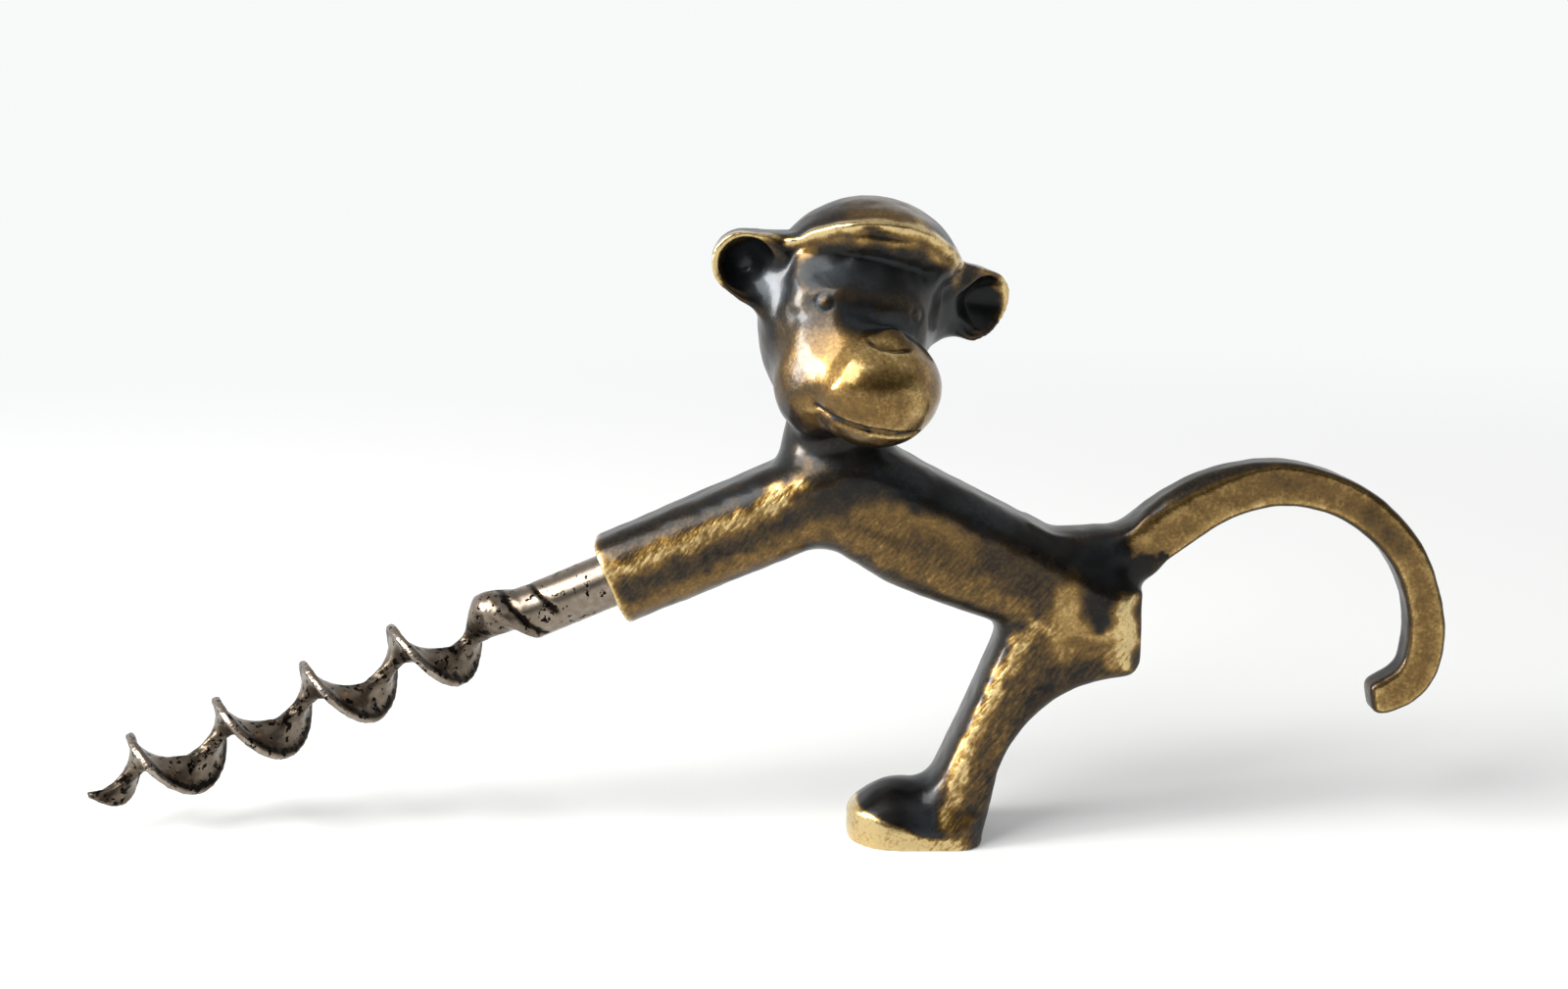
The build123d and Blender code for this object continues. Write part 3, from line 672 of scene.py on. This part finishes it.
# How far the casting is rubbed back to bare metal, from 0, black patina, to 1, bare brass, and where the
# file's marks show; at the rows marked so, the level is a painted highlight or painted shade instead. Rows
# are a level, a brush's radius and its path, brushed on from first to last; the body's paths are seen from
# the side, as (x, z).
rubbingAndPaintedLight = {
    "start": 0.2,
    "waverSeed": 5,
    "waverLength": 1.5,
    "headWaver": 0.45,
    "bodyWaver": 0.8,
    "neckFade": (42.0, 2.0),
    "sideFade": (0.2, 0.45),
    "body": [
        # arms: rubbed metal, with a painted highlight and painted shade in their bands
        (0.42, 6.0, [(-29.5, 29.0), (-12.5, 36.5)]),
        (0.16, 2.6, [(-30.5, 33.4), (-20.4, 37.4), (-14.2, 40.2)]),
        # a pale band along the middle: rubbed brass with a painted highlight
        (0.84, 1.0, [(-29.9, 29.6), (-22.5, 32.8), (-15.4, 36.0), (-11.5, 38.8)]),
        # a dark band under it: painted shade
        (0.3, 0.9, [(-29.0, 27.3), (-20.4, 31.0), (-13.0, 34.3), (-9.6, 37.0)]),
        (0.62, 1.1, [(-28.2, 25.4), (-20.4, 28.9), (-13.0, 32.5), (-8.0, 34.8)]),
        # chest and trunk
        (0.24, 3.6, [(-7.0, 39.5), (-2.0, 39.0)]),
        (0.41, 4.6, [(-4.0, 33.5), (6.0, 30.5), (14.0, 27.0)]),
        (0.68, 1.5, [(-5.1, 35.6), (-0.5, 34.9), (4.2, 33.4), (6.5, 31.6)]),
        (0.54, 1.2, [(-4.0, 33.5), (8.0, 29.2)]),
        (0.36, 1.9, [(7.6, 31.6), (10.3, 30.1), (14.1, 28.6)]),
        (0.58, 1.5, [(-7.2, 33.6), (-2.0, 31.2), (4.2, 28.5), (11.0, 25.8)]),
        (0.3, 0.8, [(-6.0, 31.2), (-3.4, 29.4), (2.8, 26.6), (8.5, 24.6)]),
        (0.1, 2.6, [(-5.1, 41.2), (2.6, 38.2), (10.4, 34.8), (18.2, 31.3), (22.0, 29.3)]),
        # rump
        (0.76, 2.5, [(13.4, 21.8), (20.6, 22.6)]),
        (0.84, 1.6, [(15.4, 27.4), (15.6, 24.6), (13.7, 22.4)]),
        (1.0, 1.5, [(21.6, 26.0), (21.6, 20.6)]),
        (0.08, 2.6, [(20.2, 30.4), (23.5, 29.6)]),
        (0.12, 1.7, [(19.0, 29.2), (19.1, 27.2)]),
        (0.16, 0.9, [(19.1, 27.0), (19.0, 24.2)]),
        (0.36, 0.9, [(14.0, 18.4), (17.0, 19.0), (21.0, 18.4)]),
        # leg
        (0.49, 2.1, [(12.6, 21.0), (11.0, 17.6), (9.1, 14.5), (7.6, 10.3), (6.0, 5.7), (4.6, 2.3)]),
        (0.26, 1.2, [(17.0, 18.4), (14.0, 14.6), (11.7, 11.4), (9.8, 8.6), (8.4, 6.0), (7.2, 3.0)]),
        (0.86, 0.9, [(12.4, 24.0), (10.7, 21.0), (9.0, 18.0), (7.8, 15.4),
                     (6.7, 12.8), (5.5, 9.7), (4.5, 5.9), (3.6, 3.4)]),
    ],
    "head": [
        # crown and crest
        (0.5, 3.0, [(-3.5, -2.6, 9.6), (1.5, -2.8, 9.6)]),
        (0.66, 1.0, [(-5.0, -4.2, 8.6), (-1.5, -5.0, 9.0), (2.0, -5.0, 8.8)]),
        (0.74, 1.0, [(-8.6, -1.8, 3.9), (-7.5, -3.5, 5.2), (-5.4, -5.4, 6.5), (-3.3, -6.4, 6.9),
                     (0.0, -6.8, 7.2), (2.8, -6.4, 6.9), (6.2, -4.6, 5.4), (8.8, -1.6, 3.6)]),
        (1.0, 0.8, face["crest"]),
        (0.3, 0.28, [(-8.6, -2.2, 4.9), (-6.6, -4.4, 6.4), (-4.6, -5.6, 7.3), (-2.6, -6.1, 7.5)]),
        (0.4, 0.45, face["toolMark"]),
        # under the brow: dark patina, darkened further as painted shade under the brow's overhang
        (0.02, 1.7, [(-7.4, -4.2, 2.8), (-4.5, -6.2, 3.6), (-1.0, -6.9, 4.2), (3.2, -6.2, 3.8),
                     (6.6, -4.2, 2.8)]),
        # muzzle, cheeks and eye band
        (0.84, 6.8, [(-1.4, -9.8, -5.4), (0.8, -9.8, -8.0)]),
        (0.46, 2.4, [(-8.5, -4.0, -5.0), (-9.0, -4.5, -8.6)]),
        (0.68, 2.0, [(-6.4, -8.0, -10.0), (-5.0, -8.8, -11.6)]),
        # painted shade, near black, where the left ear's cup meets the face
        (0.03, 2.0, [(-10.8, -0.2, 0.8), (-9.4, -1.6, 0.4)]),
        (0.12, 2.0, [(-4.0, -8.0, -0.2), (1.0, -8.6, -0.2), (5.5, -7.0, -1.6)]),
        (0.2, 1.0, [(4.4, -8.2, -2.6), (6.0, -7.0, -5.0)]),
        (0.66, 2.2, [(-2.0, -13.9, -5.8), (-0.8, -13.9, -7.2)]),
        (0.8, 1.2, [(0.6, -13.8, -4.6), (2.0, -13.2, -7.2)]),
        (0.9, 0.7, [(-2.0, -10.4, -2.2), (0.2, -10.8, -2.2)]),
        (0.16, 0.24, mouthPath(face)),
        # ears
        (0.05, 2.2, [(-13.2, 1.6, 1.2), (-10.6, 0.6, -0.2)]),
        (0.05, 2.2, [(13.2, 1.6, 1.2), (10.6, 0.6, -0.2)]),
        (0.8, 0.8, [(-14.6, 0.6, 4.2), (-13.0, 0.3, 4.6), (-10.8, -0.4, 4.8)]),
        (1.0, 1.9, [(-15.7, 1.0, 2.8), (-14.9, 0.8, 3.9)]),
        (0.86, 1.1, [(-16.0, 1.2, 1.6), (-15.4, 1.2, -0.6)]),
        (0.5, 0.6, [(11.4, -0.3, 4.5), (13.8, 0.4, 4.2)]),
        (0.85, 0.8, [(14.6, 0.8, 3.6), (16.0, 1.1, 1.6), (15.9, 1.2, 0.2)]),
    ],
    # the tail's filed flats, with brown stains, beside its broad dark edge
    "tailLevel": 0.72,
    "tailStains": [
        (0.18, 1.7, [(46.4, 34.6), (49.0, 31.8)]),
        (0.1, 1.6, [(36.0, 39.2), (41.0, 38.6)]),
    ],
    "tailStart": (21.4, 1.0),
    "tailFlat": (0.84, 0.1),
    "tailRootTop": 31.0,
    "tailRootEnd": 26.0,
    # the foot's filed wall and its bright rim, under a near-black top: patina with painted shade from the
    # body over it
    "toe": -5.6,
    "rimHeight": 4.3,
    "rimSlope": 0.39,
    "rimLength": 7.3,
    "rimWaver": 0.2,
    "rimFade": 0.3,
    "rimOverlap": 0.1,
    "shadedTopLevel": 0.05,
    "topFade": (3.2, 0.8),
    "topHeight": 7.5,
    "wallLevel": 0.98,
    "wallFade": (7.0, 3.0),
    "wallHeight": 5.5,
    # the cut end of the arms, and every raised edge
    "endLevel": 0.95,
    "endWidth": 0.5,
    "edgePasses": 14,
    "edgeHeight": 0.08,
    "edgeMost": 1.2,
    "edgeShare": 0.16,
    # where the file's marks show, seen from the side: strength, radius, path
    "filed": [
        (1.0, 3.4, [(11.8, 23.6), (9.6, 16.0), (6.0, 6.0), (4.6, 1.5)]),
        (1.0, 1.6, [(-29.5, 29.4), (-22.5, 32.6), (-15.4, 35.8), (-11.5, 38.6)]),
        (0.5, 3.6, [(-28.8, 28.0), (-12.0, 35.0)]),
        (0.7, 3.6, [(-5.0, 33.0), (12.0, 26.5)]),
        (0.8, 2.0, [(14.0, 20.0), (21.0, 20.0)]),
    ],
    "filedTop": 42.5,
    "filedFade": (0.2, 0.4),
    "filedMuzzle": 0.15,
    "filedMuzzleReach": (8.0, 8.0, 8.0),
}


def wavered(points, length):
    # an uneven shift for each point, which gives what is brushed on a ragged edge
    shift = np.zeros_like(points)
    for k, p in enumerate(points):
        shift[k] = noise.noise_vector(Vector(p / length))
    return shift


def rubbedBrightAndPaintedLight(skin, work):
    points, across = skin.points, np.abs(skin.normals[:, 1])
    x, z = points[:, 0], points[:, 2]
    noise.seed_set(work["waverSeed"])  # unseeded, the ragged edges would differ from run to run
    waver = wavered(points, work["waverLength"])
    head = headPoints(points + waver * work["headWaver"])
    side = (points + waver * work["bodyWaver"])[:, [0, 2]]
    facing = fadeIn(across, work["sideFade"])
    onHead = fadeIn(z, work["neckFade"])
    rubAndPaintedLight = np.full(len(points), work["start"])
    for level, radius, path in work["body"]:
        rubAndPaintedLight += (level - rubAndPaintedLight) * stroke(side, path, radius) * facing * (1 - onHead)
    for level, radius, path in work["head"]:
        rubAndPaintedLight += (level - rubAndPaintedLight) * stroke(head, path, radius) * onHead

    pastRoot = (side[:, 1] > work["tailRootTop"]) | (x > work["tailRootEnd"])
    tail = fadeIn(side[:, 0], work["tailStart"]) * fadeIn(across, work["tailFlat"]) * pastRoot
    tailLevel = np.full(len(points), work["tailLevel"])
    for depth, radius, path in work["tailStains"]:
        tailLevel -= depth * stroke(side, path, radius)
    rubAndPaintedLight += (tailLevel - rubAndPaintedLight) * tail

    rim = work["rimHeight"] - work["rimSlope"] * np.clip(x - work["toe"], 0, work["rimLength"])
    rim += waver[:, 0] * work["rimWaver"]
    # the foot's top is painted near black: patina with painted shade from the body above
    onFoot = smoothStep((work["topFade"][0] - x) / work["topFade"][1]) * (z < work["topHeight"])
    rubAndPaintedLight += (work["shadedTopLevel"] - rubAndPaintedLight) * smoothStep((z - rim) / work["rimFade"]) * onFoot
    wall = smoothStep((rim - z + work["rimOverlap"]) / work["rimFade"])
    wall *= smoothStep((work["wallFade"][0] - x) / work["wallFade"][1])
    rubAndPaintedLight += (work["wallLevel"] - rubAndPaintedLight) * wall * (z < work["wallHeight"])

    rubAndPaintedLight += (work["endLevel"] - rubAndPaintedLight) * ridge((points - wrist) @ armAlong, work["endWidth"])
    # raised edges are rubbed, hollows keep their patina
    height = skin.raised(work["edgePasses"]) / work["edgeHeight"]
    rubAndPaintedLight += np.clip(height, -work["edgeMost"], work["edgeMost"]) * work["edgeShare"]
    return np.clip(rubAndPaintedLight, 0, 1)


def filedMarks(skin, work):
    side = skin.points[:, [0, 2]]
    below = skin.points[:, 2] < work["filedTop"]
    filed = np.zeros(len(side))
    for strength, radius, path in work["filed"]:
        filed = np.maximum(filed, stroke(side, path, radius) * strength * below)
    muzzle = spot(headPoints(skin.points), face["muzzle"], work["filedMuzzleReach"])
    filed = np.maximum(filed, work["filedMuzzle"] * muzzle)
    return filed * fadeIn(np.abs(skin.normals[:, 1]), work["filedFade"])


figureFinish = {
    "colours": [(0.0, "#0E0F11"), (0.2, "#191612"), (0.38, "#3D3224"), (0.55, "#584426"),
                (0.72, "#75592C"), (0.88, "#A2834B"), (1.0, "#D2B982")],
    "coolColour": "#33383C",
    "coolShare": 0.6,
    "coolFade": (0.42, 0.62),
    "coolLevels": (0.12, 0.34),
    "patinaMetal": 0.8,  # the sulphide film is thin, so the metal below still mirrors
    "metalLevels": (0.1, 0.55),
    "patinaRoughness": 0.3,
    "brassRoughness": 0.2,
    "roughnessLevels": (0.1, 0.9),
    "mottleRoughness": 0.12,
    "filedRoughness": 0.16,
    "waxWeight": (0.2, 0.5),
    "waxLevels": (0.3, 0.8),
    "waxRoughness": 0.16,
    "mottle": 1.5,  # patches of patina, in millimetres, as the next sizes are
    "specks": 0.35,
    "drift": 6.0,
    "strokeLength": 1.1,
    "strokeWidth": 0.32,
    "grain": 0.4,  # the real skin's grain is near 0.15, drawn coarser so that it shows
    "grainDepth": 0.025,
    "markDepth": 0.09,
    "strokeTurn": -52.0,
    "mottleShare": 0.36,
    "speckShare": 0.34,
    "markedShare": 0.9,
}


def brassMaterial(finish):
    # cast brass, blackened, waxed and rubbed back: bare yellow metal on the high places, where it
    # shines, and brown to blue-black patina in the hollows; the rubbed level also holds some painted
    # highlights and shade
    material, tree = newMaterial("patinatedCastBrass")
    place = addNode(tree, "TexCoord").outputs["Object"]
    rubbed = addNode(tree, "Attribute", {"attribute_name": "rubbed"}).outputs["Fac"]
    filed = addNode(tree, "Attribute", {"attribute_name": "filed"}).outputs["Fac"]
    texture = {"Scale": 1 / (finish["mottle"] * mm), "Detail": 5.0, "Roughness": 0.62}
    mottle = addNode(tree, "TexNoise", texture, Vector=place)
    texture = {"Scale": 1 / (finish["specks"] * mm), "Detail": 2.0, "Roughness": 0.5}
    specks = addNode(tree, "TexNoise", texture, Vector=place)
    texture = {"Scale": 1 / (finish["drift"] * mm), "Detail": 2.0, "Roughness": 0.5}
    drift = addNode(tree, "TexNoise", texture, Vector=place)
    length, width = finish["strokeLength"] * mm, finish["strokeWidth"] * mm
    turned = {"vector_type": "TEXTURE", "Rotation": (0, math.radians(finish["strokeTurn"]), 0),
              "Scale": (length, length, width)}
    strokes = addNode(tree, "Mapping", turned, Vector=place)
    marks = addNode(tree, "TexNoise", {"Scale": 1.0, "Detail": 2.0, "Roughness": 0.55}, Vector=strokes)

    # how bright the metal is: the rubbing with its painted highlights and shade, broken up by the file's
    # marks, the mottling and the specks
    marked = addNode(tree, "Math", {"operation": "SUBTRACT", 1: 0.5}, i0=marks)
    marked = addNode(tree, "Math", {"operation": "MULTIPLY"}, i0=marked, i1=filed)
    level = rubbed
    for source, share in ((marked, "markedShare"), (mottle, "mottleShare"), (specks, "speckShare")):
        level = addNode(tree, "Math", {"operation": "MULTIPLY_ADD", 1: finish[share]}, i0=source, i2=level)
    middle = (finish["mottleShare"] + finish["speckShare"]) / 2
    level = addNode(tree, "Math", {"operation": "SUBTRACT", "use_clamp": True, 1: middle}, i0=level)

    # the colour follows it, with a cool tinge here and there in the dark
    ramp = addNode(tree, "ValToRGB", None, Fac=level)
    setStops(ramp, finish["colours"])
    ends = (0.0, finish["coolShare"])
    cool = addNode(tree, "MapRange", {"From": finish["coolFade"], "To": ends}, Value=drift)
    dark = addNode(tree, "MapRange", {"From": finish["coolLevels"], "To": (1.0, 0.0)}, Value=level)
    cool = addNode(tree, "Math", {"operation": "MULTIPLY"}, i0=cool, i1=dark)
    tinge = {"data_type": "RGBA", 7: hexColour(finish["coolColour"])}
    colour = addNode(tree, "Mix", tinge, i0=cool, i6=ramp)

    # bare metal is smoother than patina, and a filed place is rougher
    ends = (finish["patinaMetal"], 1.0)
    metal = addNode(tree, "MapRange", {"From": finish["metalLevels"], "To": ends}, Value=level)
    ends = (finish["patinaRoughness"], finish["brassRoughness"])
    rough = addNode(tree, "MapRange", {"From": finish["roughnessLevels"], "To": ends}, Value=level)
    for source, share in ((mottle, "mottleRoughness"), (filed, "filedRoughness")):
        rough = addNode(tree, "Math", {"operation": "MULTIPLY_ADD", 1: finish[share]}, i0=source, i2=rough)
    wax = addNode(tree, "MapRange", {"From": finish["waxLevels"], "To": finish["waxWeight"]}, Value=level)

    # the casting's fine grain everywhere, and the file's marks where it was filed
    texture = {"Scale": 1 / (finish["grain"] * mm), "Detail": 3.0, "Roughness": 0.6}
    grain = addNode(tree, "TexNoise", texture, Vector=place)
    cut = addNode(tree, "Math", {"operation": "MULTIPLY"}, i0=marks, i1=filed)
    fine = addNode(tree, "Bump", {"Strength": 1.0, "Distance": finish["grainDepth"] * mm}, Height=grain)
    bumps = addNode(tree, "Bump", {"Strength": 1.0, "Distance": finish["markDepth"] * mm},
                    Height=cut, Normal=fine)
    shader = addNode(tree, "BsdfPrincipled", {"Coat Roughness": finish["waxRoughness"]},
                     Base_Color=colour.outputs[2], Metallic=metal, Roughness=rough, Normal=bumps,
                     Coat_Weight=wax)
    addNode(tree, "OutputMaterial", None, Surface=shader)
    return material


def makeFigure(shape):
    figure = fineCopy(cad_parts["brass_figure"], "brassFigure", shape["voxel"])
    print("casting remeshed:", len(figure.data.vertices), "points")
    skin = Skin(figure.data)
    skin.soften(np.full(len(skin.points), shape["evenStrength"]), shape["evenPasses"])
    blendCreases(skin, shape)
    addWax(skin, shape)
    pushWax(skin, shape)
    scoopEars(skin, shape)
    rubEdges(skin, shape)
    shapeToe(skin, shape)
    roundTail(skin, shape)
    fileFlats(skin, shape)
    skin.refresh()
    skin.soften(np.full(len(skin.points), shape["lastStrength"]), shape["lastPasses"])
    carveFace(skin, face)
    aboveSole = fadeIn(skin.points[:, 2], shape["soleFade"])
    skin.roughen(shape["waviness"], shape["waveLength"], shape["dents"], shape["dentLength"], aboveSole)
    paint(figure, "rubbed", rubbedBrightAndPaintedLight(skin, rubbingAndPaintedLight))
    paint(figure, "filed", filedMarks(skin, rubbingAndPaintedLight))
    thinOut(figure, shape["triangles"])
    figure.data.materials.clear()
    figure.data.materials.append(brassMaterial(figureFinish))
    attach(figure, "root")
    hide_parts("brass_figure")
    print("casting shaped and painted:", len(figure.data.vertices), "points")


# The worm: its crest is ground to a narrow land, and it fills out where it turns into the shank.
# Lengths run along the worm's axis, from the end of the arms.
wormShape = {
    "voxel": 0.14,
    "triangles": 190000,
    "shankVisible": 11.1,
    "shankRadius": 2.8,
    "threadFade": (3.0, 2.0),
    "reach": 61.0,
    "radius": 4.45,
    "tipLength": 7.0,
    "tipFade": 3.0,
    "fillStrength": 0.5,
    "fillPasses": 60,
    "shoulderSpot": (-42.6, 0.0, 26.0),
    "shoulderReach": (2.6, 4.0, 2.4),
    "shoulderStrength": 0.9,
    "shoulderRounds": 3,
    "shoulderPasses": 100,
    "evenStrength": 0.2,
    "threadEvenStrength": 0.3,
    "evenPasses": 4,
    "neckSpot": (-43.4, 0.0, 23.7),
    "neckReach": (4.0, 4.4, 4.4),
    "neckSwell": 1.1,
    "neckStrength": 0.6,
    "neckPasses": 16,
    "rimStrength": 0.5,
    "rimPasses": 6,
    "threadSwell": 0.05,
    "landSwell": 0.3,
    "crestFade": (0.7, 0.2),  # shares of the radius
    "rimFade": (0.62, 0.3),
    "waviness": 0.04,
    "waveLength": 2.2,
    "dents": 0.02,
    "dentLength": 0.7,
    # the thread's groove runs out in creases on the shank: places along it, and the angle round it
    "creases": [[(-8.5, 100), (-6.2, -8)], [(-11.4, 95), (-9.7, 0), (-8.4, -55)]],
    "creaseSteps": 8,
    "creaseWidth": 0.3,
    "creaseDepth": 0.16,
    # how bright the steel is worn, and how much darker or brighter it is in places
    "worn": 0.72,
    "threadDark": 0.1,
    "tipDark": 0.08,
    "crestBright": 0.15,
    "flankDark": 0.45,
    "landFade": (0.3, 0.3),  # steepness, 1 where the face looks along the worm
    "flankFade": (0.6, 0.2),
    "landEdge": (0.87, 0.08),
    "coreDark": 0.16,
    "coreRadius": 1.6,
    "coreFade": 0.8,
    "creaseDark": 0.6,
}


def onAxis(points):
    # along the worm's axis, towards the viewer, and up across it
    offset = points - wrist
    return np.stack((offset @ armAlong, -offset[:, 1], offset @ armUp), 1)


def creased(places, shape):
    # 1 in the creases where the groove runs out
    deep = np.zeros(len(places))
    for line in shape["creases"]:
        path = []
        for (startAt, startTurn), (endAt, endTurn) in zip(line[:-1], line[1:]):
            for share in np.linspace(0, 1, shape["creaseSteps"]):
                turn = math.radians(startTurn + (endTurn - startTurn) * share)
                across, up = shape["shankRadius"] * math.cos(turn), shape["shankRadius"] * math.sin(turn)
                path.append((startAt + (endAt - startAt) * share, across, up))
        deep = np.maximum(deep, ridge(lineDistance(places, path), shape["creaseWidth"]))
    return deep


def shapeThread(skin, thread, shape):
    # fills the grooves' sharp creases and the shoulder, and evens out the voxels' steps
    skin.soften(thread * shape["fillStrength"], shape["fillPasses"], hollowsOnly=True)
    for part in range(shape["shoulderRounds"]):
        shoulder = spot(skin.points, shape["shoulderSpot"], shape["shoulderReach"])
        skin.soften(shoulder * shape["shoulderStrength"], shape["shoulderPasses"], hollowsOnly=True)
    skin.soften(shape["evenStrength"] + thread * shape["threadEvenStrength"], shape["evenPasses"])


def wornBright(skin, places, thread, rim, deep, shape):
    # bright on the shank and along the crests, dark at the point, beside the land and at the core
    along, share = places[:, 0], np.hypot(places[:, 1], places[:, 2]) / shape["radius"]
    steep = np.abs(skin.normals @ armAlong)
    crest = fadeIn(share, shape["crestFade"]) * thread
    worn = shape["worn"] - shape["threadDark"] * thread
    worn -= shape["tipDark"] * smoothStep((shape["tipLength"] - shape["reach"] - along) / shape["tipFade"])
    worn += shape["crestBright"] * crest * (1 - fadeIn(steep, shape["landFade"]))
    besideLand = 1 - fadeIn(share, shape["landEdge"])
    worn -= shape["flankDark"] * rim * fadeIn(steep, shape["flankFade"]) * besideLand
    core = smoothStep((shape["coreRadius"] - share * shape["radius"]) / shape["coreFade"])
    worn -= shape["coreDark"] * core * thread
    worn -= shape["creaseDark"] * deep
    return np.clip(worn, 0, 1)


steelFinish = {
    "colours": [(0.0, "#15110E"), (0.3, "#332A22"), (0.5, "#655A4D"), (0.72, "#877B6E"), (1.0, "#B8AFA5")],
    "roughness": (0.42, 0.26),
    "roughnessLevels": (0.2, 0.8),
    "stain": 1.3,  # in millimetres, as the next sizes are
    "pits": 0.8,
    "pitDepth": 0.03,
    "stainShare": 0.5,
    "pitEdge": 0.43,
    "pitFade": 0.03,
    "pitDark": 0.8,
    "wornPits": -0.24,
}


def steelMaterial(finish):
    # nickelled steel, ground by hand: warm grey where it is worn, brown to black where it is stained,
    # with small pits that take the shine away
    material, tree = newMaterial("wornNickelledSteel")
    place = addNode(tree, "TexCoord").outputs["Object"]
    worn = addNode(tree, "Attribute", {"attribute_name": "worn"}).outputs["Fac"]
    texture = {"Scale": 1 / (finish["stain"] * mm), "Detail": 4.0, "Roughness": 0.65}
    stain = addNode(tree, "TexNoise", texture, Vector=place)
    texture = {"Scale": 1 / (finish["pits"] * mm), "Detail": 3.0, "Roughness": 0.6}
    pits = addNode(tree, "TexNoise", texture, Vector=place)
    level = addNode(tree, "Math", {"operation": "MULTIPLY_ADD", 1: finish["stainShare"]}, i0=stain, i2=worn)
    middle = finish["stainShare"] / 2
    level = addNode(tree, "Math", {"operation": "SUBTRACT", "use_clamp": True, 1: middle}, i0=level)
    pitted = addNode(tree, "Math", {"operation": "MULTIPLY_ADD", 1: finish["wornPits"]}, i0=worn, i2=pits)
    edge = (finish["pitEdge"], finish["pitEdge"] + finish["pitFade"])
    pitted = addNode(tree, "MapRange", {"From": edge, "To": (0.0, finish["pitDark"])}, Value=pitted)
    level = addNode(tree, "Math", {"operation": "SUBTRACT", "use_clamp": True}, i0=level, i1=pitted)
    ramp = addNode(tree, "ValToRGB", None, Fac=level)
    setStops(ramp, finish["colours"])
    rough = addNode(tree, "MapRange", {"From": finish["roughnessLevels"], "To": finish["roughness"]},
                    Value=level)
    bump = addNode(tree, "Bump", {"Strength": 1.0, "Distance": finish["pitDepth"] * mm, "invert": True},
                   Height=pitted)
    shader = addNode(tree, "BsdfPrincipled", {"Metallic": 1.0},
                     Base_Color=ramp, Roughness=rough, Normal=bump)
    addNode(tree, "OutputMaterial", None, Surface=shader)
    return material


def makeWorm(shape):
    worm = fineCopy(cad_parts["steel_worm"], "steelWorm", shape["voxel"])
    print("worm remeshed:", len(worm.data.vertices), "points")
    skin = Skin(worm.data)
    back, length = shape["threadFade"]
    thread = smoothStep((-onAxis(skin.points)[:, 0] - shape["shankVisible"] + back) / length)
    shapeThread(skin, thread, shape)
    places = onAxis(skin.points)
    rim = fadeIn(np.hypot(places[:, 1], places[:, 2]) / shape["radius"], shape["rimFade"]) * thread
    neck = spot(skin.points, shape["neckSpot"], shape["neckReach"])
    flank = skin.normals @ armAlong
    skin.points += armAlong * (flank * rim * shape["landSwell"])[:, None]
    skin.points += skin.normals * (thread * shape["threadSwell"] + neck * shape["neckSwell"])[:, None]
    skin.refresh()
    skin.soften(rim * shape["rimStrength"], shape["rimPasses"])
    skin.soften(neck * shape["neckStrength"], shape["neckPasses"])
    skin.roughen(shape["waviness"], shape["waveLength"], shape["dents"], shape["dentLength"], thread)
    deep = creased(places, shape)
    skin.points -= skin.normals * (deep * shape["creaseDepth"])[:, None]
    skin.refresh()
    paint(worm, "worn", wornBright(skin, places, thread, rim, deep, shape))
    thinOut(worm, shape["triangles"])
    worm.data.materials.clear()
    worm.data.materials.append(steelMaterial(steelFinish))
    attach(worm, "root")
    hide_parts("steel_worm")
    print("worm shaped and painted:", len(worm.data.vertices), "points")


makeFigure(casting)
makeWorm(wormShape)
